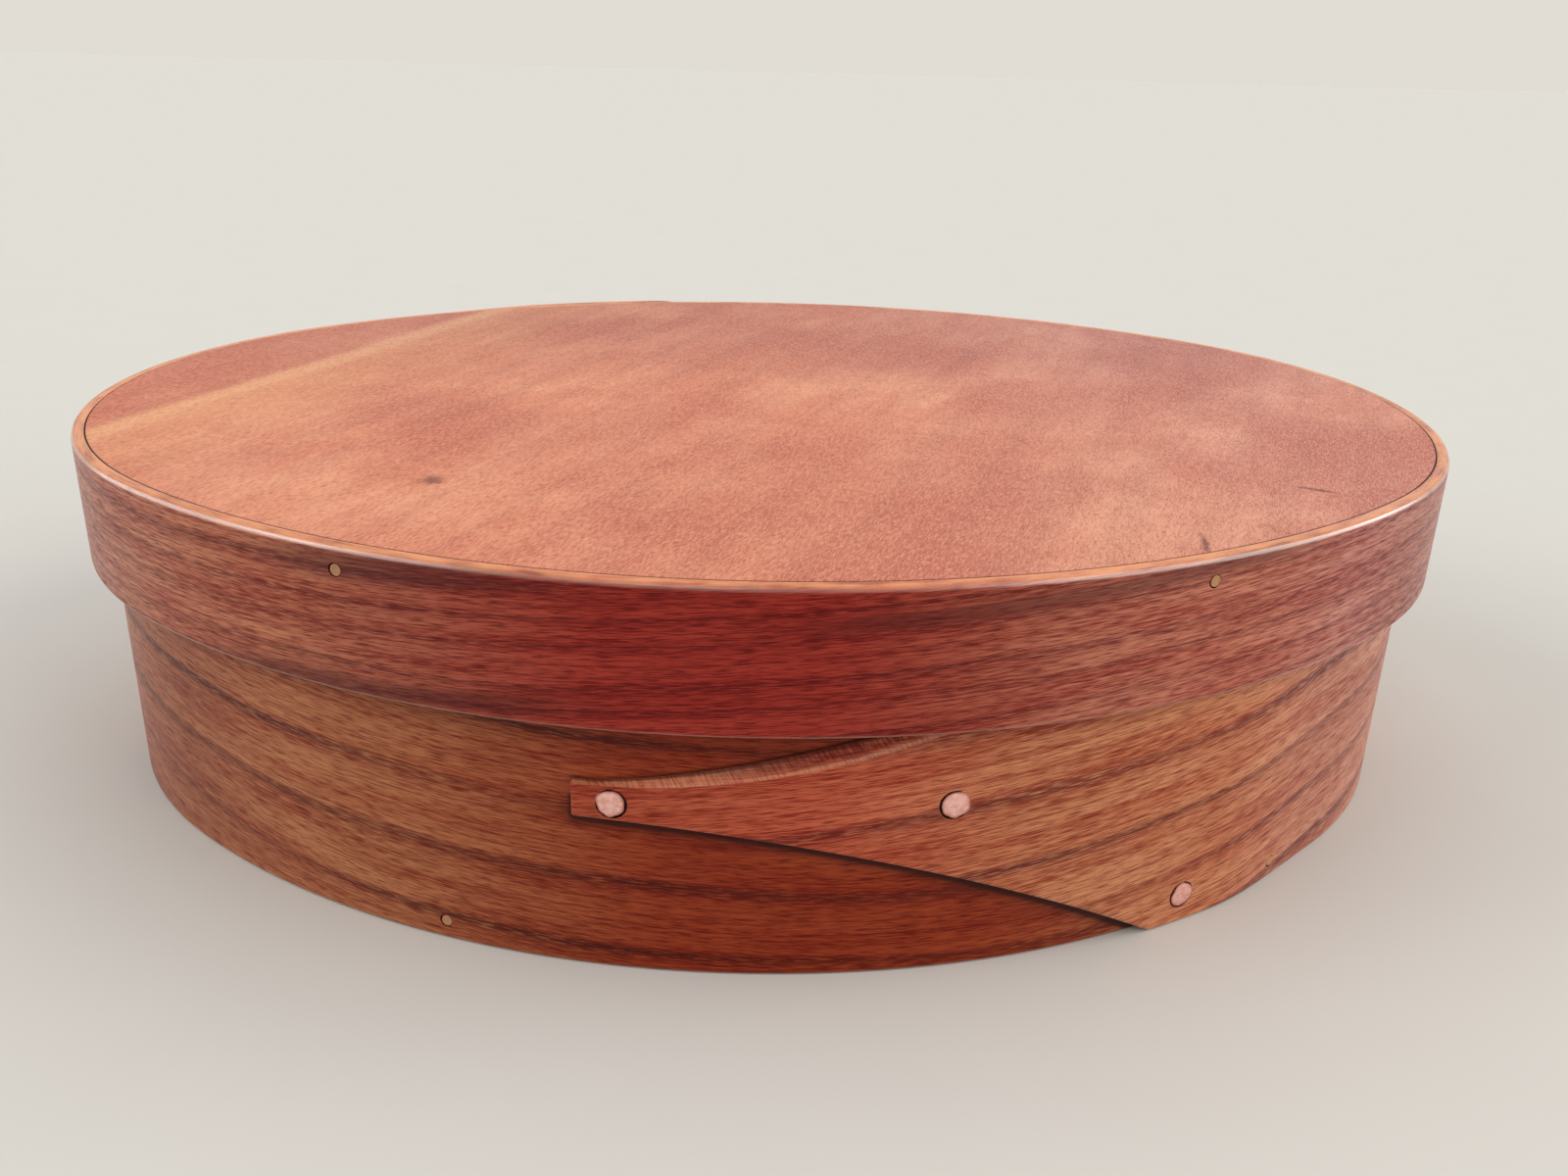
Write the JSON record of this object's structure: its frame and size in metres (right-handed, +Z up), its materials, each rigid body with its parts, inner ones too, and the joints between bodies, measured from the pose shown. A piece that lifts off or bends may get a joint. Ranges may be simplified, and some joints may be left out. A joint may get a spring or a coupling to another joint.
{
  "type": "oval bentwood storage box",
  "caption": "Oval bentwood box with a lift-off lid: thin bands lapped with a tacked finger, boards let in and held by wooden pegs.",
  "frame": {"origin": "middle of the box's underside, on the surface that it stands on", "axes": "+X along the oval's long axis, +Y away from the side with the box's finger, +Z up through the lid"},
  "size_m": [0.2694, 0.2176, 0.0675],
  "materials": {
    "box_band_wood": "oiled cherry, grain along the band",
    "lid_band_wood": "oiled cherry, grain along the band",
    "board_wood": "oiled cherry board, satin",
    "peg_wood": "end grain, cut flush",
    "copper": "hammered copper, dull"
  },
  "bodies": {
    "box": {"box_band": "box_band_wood", "bottom_board": "board_wood", "finger_tip_tack": "copper", "finger_middle_tack": "copper", "lap_lower_tack": "copper", "lap_upper_tack": "copper", "bottom_peg_1": "peg_wood", "bottom_peg_2": "peg_wood", "bottom_peg_3": "peg_wood", "bottom_peg_4": "peg_wood", "bottom_peg_5": "peg_wood"},
    "lid": {"lid_band": "lid_band_wood", "lid_board": "board_wood", "lid_tip_tack": "copper", "lid_middle_tack": "copper", "lid_root_tack": "copper", "lid_peg_1": "peg_wood", "lid_peg_2": "peg_wood", "lid_peg_3": "peg_wood", "lid_peg_4": "peg_wood", "lid_peg_5": "peg_wood", "lid_peg_6": "peg_wood"}
  },
  "joints": [
    {"name": "lid_lift", "type": "slide", "parent": "box", "child": "lid", "axis": [0, 0, 1], "range_m": [0, 0.06]}
  ]
}
